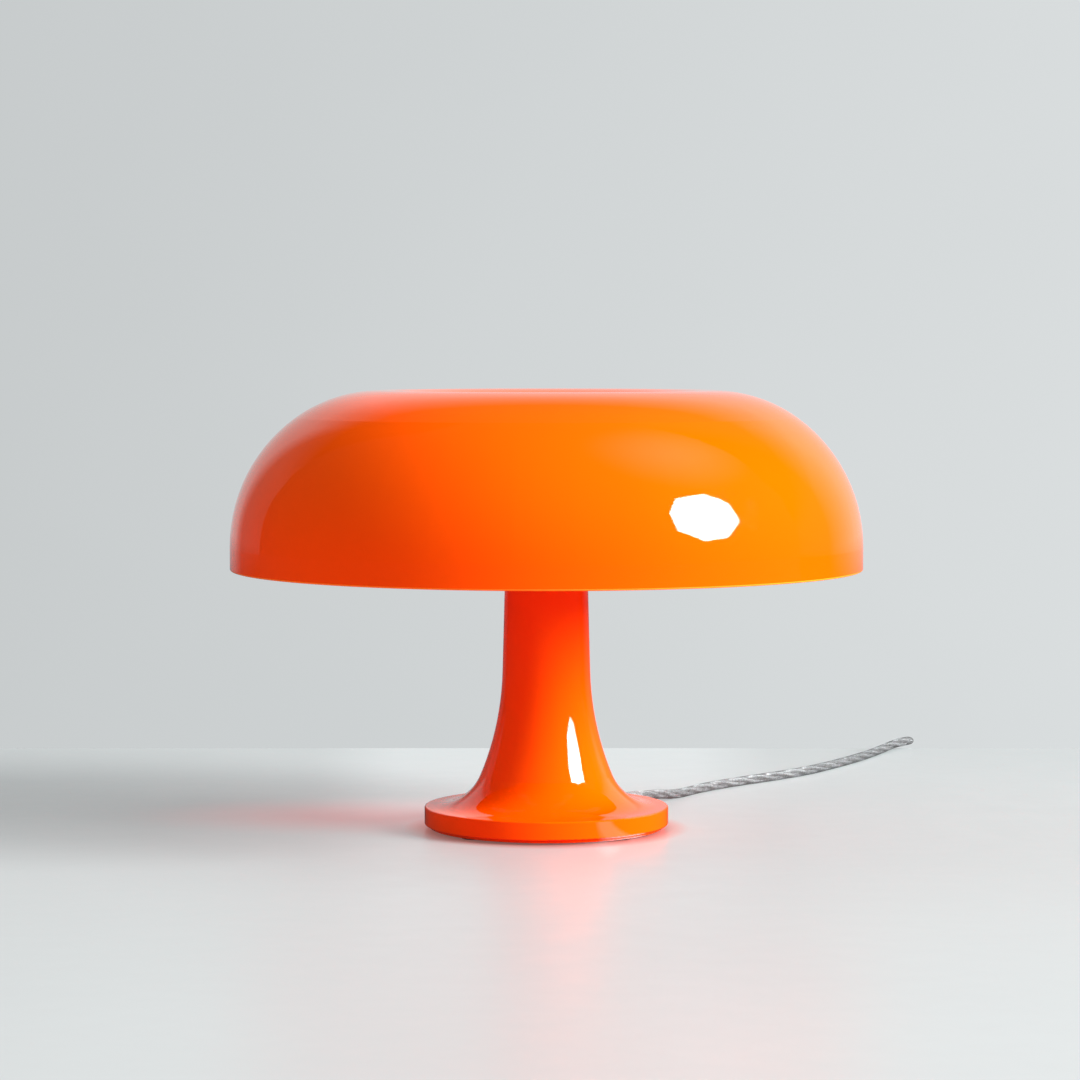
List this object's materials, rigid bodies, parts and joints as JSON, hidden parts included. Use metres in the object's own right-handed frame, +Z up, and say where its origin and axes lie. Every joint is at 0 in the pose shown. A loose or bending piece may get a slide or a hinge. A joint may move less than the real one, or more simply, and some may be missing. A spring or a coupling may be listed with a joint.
{
  "type": "mushroom table lamp",
  "caption": "Mushroom table lamp with a wide dished shade on a flared stem and round weighted base, bulbs under the shade and a lead with a hand switch and plug.",
  "frame": {"origin": "centre of the foot circle on the table, under the stem", "axes": "+Z up along the stem, -Y towards the front of the picture, +X to its right; the lead leaves to the rear right"},
  "size_m": [0.3978, 0.6114, 0.2229],
  "materials": {
    "shade_plastic": "high gloss, slightly translucent moulding",
    "body_plastic": "high gloss moulding",
    "foot_rubber": "matt",
    "iron": "cast, painted",
    "steel": "zinc plated",
    "gasket_rubber": "matt",
    "brass": "machined",
    "bulb_metal": "rolled",
    "bulb_glass": "opal",
    "holder_plastic": "satin",
    "clear_lead": "clear jacket over silver cores",
    "clear_relief": "clear moulding",
    "wire_jacket": "satin",
    "tie_plastic": "matt",
    "switch_plastic": "clear moulding",
    "plug_plastic": "clear moulding"
  },
  "bodies": {
    "root": {"body_shell": "body_plastic", "base_cover": "body_plastic", "foot_pads": "foot_rubber", "ballast": "iron", "cover_screws": "steel", "tie_tube": "steel", "lower_washer": "steel", "lower_nut": "steel", "stem_cap": "steel", "lampholder_spider": "steel", "spider_nut": "steel", "seat_nut": "steel", "seat_plate": "steel", "shade_gasket": "gasket_rubber", "holder_screw_shells": "brass", "holder_contacts": "brass", "holder_screws": "steel", "inner_lead": "clear_lead", "core_wires": "wire_jacket", "terminal_block": "holder_plastic", "holder_wires": "wire_jacket", "cord_gland": "clear_relief", "lead_clamp": "holder_plastic", "clamp_screws": "steel", "cord_lead": "clear_lead", "cord_run": "clear_lead", "cord_coil": "clear_lead", "cord_tail": "clear_lead", "cord_tie": "tie_plastic", "switch_lower": "switch_plastic", "switch_upper": "switch_plastic", "switch_pin": "steel", "switch_terminals": "brass", "switch_screws": "steel", "switch_relief_lamp": "clear_relief", "switch_relief_plug": "clear_relief", "plug_body": "plug_plastic", "plug_pins": "brass", "lampholder_rear_right": "holder_plastic", "lampholder_rear_left": "holder_plastic", "lampholder_front_left": "holder_plastic", "lampholder_front_right": "holder_plastic"},
    "shade": {"shade": "shade_plastic"},
    "knob": {"shade_knob": "body_plastic", "knob_insert": "brass"},
    "rocker": {"switch_rocker": "switch_plastic"},
    "bulb_rear_right": {"bulb_cap_rear_right": "bulb_metal", "bulb_glass_rear_right": "bulb_glass"},
    "bulb_rear_left": {"bulb_cap_rear_left": "bulb_metal", "bulb_glass_rear_left": "bulb_glass"},
    "bulb_front_left": {"bulb_cap_front_left": "bulb_metal", "bulb_glass_front_left": "bulb_glass"},
    "bulb_front_right": {"bulb_cap_front_right": "bulb_metal", "bulb_glass_front_right": "bulb_glass"}
  },
  "joints": [
    {"name": "shade_lift", "type": "slide", "parent": "root", "child": "shade", "axis": [0, 0, 1], "range_m": [0, 0.09]},
    {"name": "knob_turn", "type": "hinge", "parent": "shade", "child": "knob", "pos_m": [0, 0, 0.204], "axis": [0, 0, 1], "range_deg": [0, 2520]},
    {"name": "switch_rocker_tilt", "type": "hinge", "parent": "root", "child": "rocker", "pos_m": [0.1297, 0.4191, 0.012], "axis": [-0.1392, -0.9903, 0], "range_deg": [0, 14]},
    {"name": "bulb_turn_rear_right", "type": "hinge", "parent": "root", "child": "bulb_rear_right", "pos_m": [0.03535, 0.03535, 0.165], "axis": [0.7071, 0.7071, 0], "range_deg": [0, 2160]},
    {"name": "bulb_turn_rear_left", "type": "hinge", "parent": "root", "child": "bulb_rear_left", "pos_m": [-0.03535, 0.03535, 0.165], "axis": [-0.7071, 0.7071, 0], "range_deg": [0, 2160]},
    {"name": "bulb_turn_front_left", "type": "hinge", "parent": "root", "child": "bulb_front_left", "pos_m": [-0.03535, -0.03535, 0.165], "axis": [-0.7071, -0.7071, 0], "range_deg": [0, 2160]},
    {"name": "bulb_turn_front_right", "type": "hinge", "parent": "root", "child": "bulb_front_right", "pos_m": [0.03535, -0.03535, 0.165], "axis": [0.7071, -0.7071, 0], "range_deg": [0, 2160]}
  ]
}
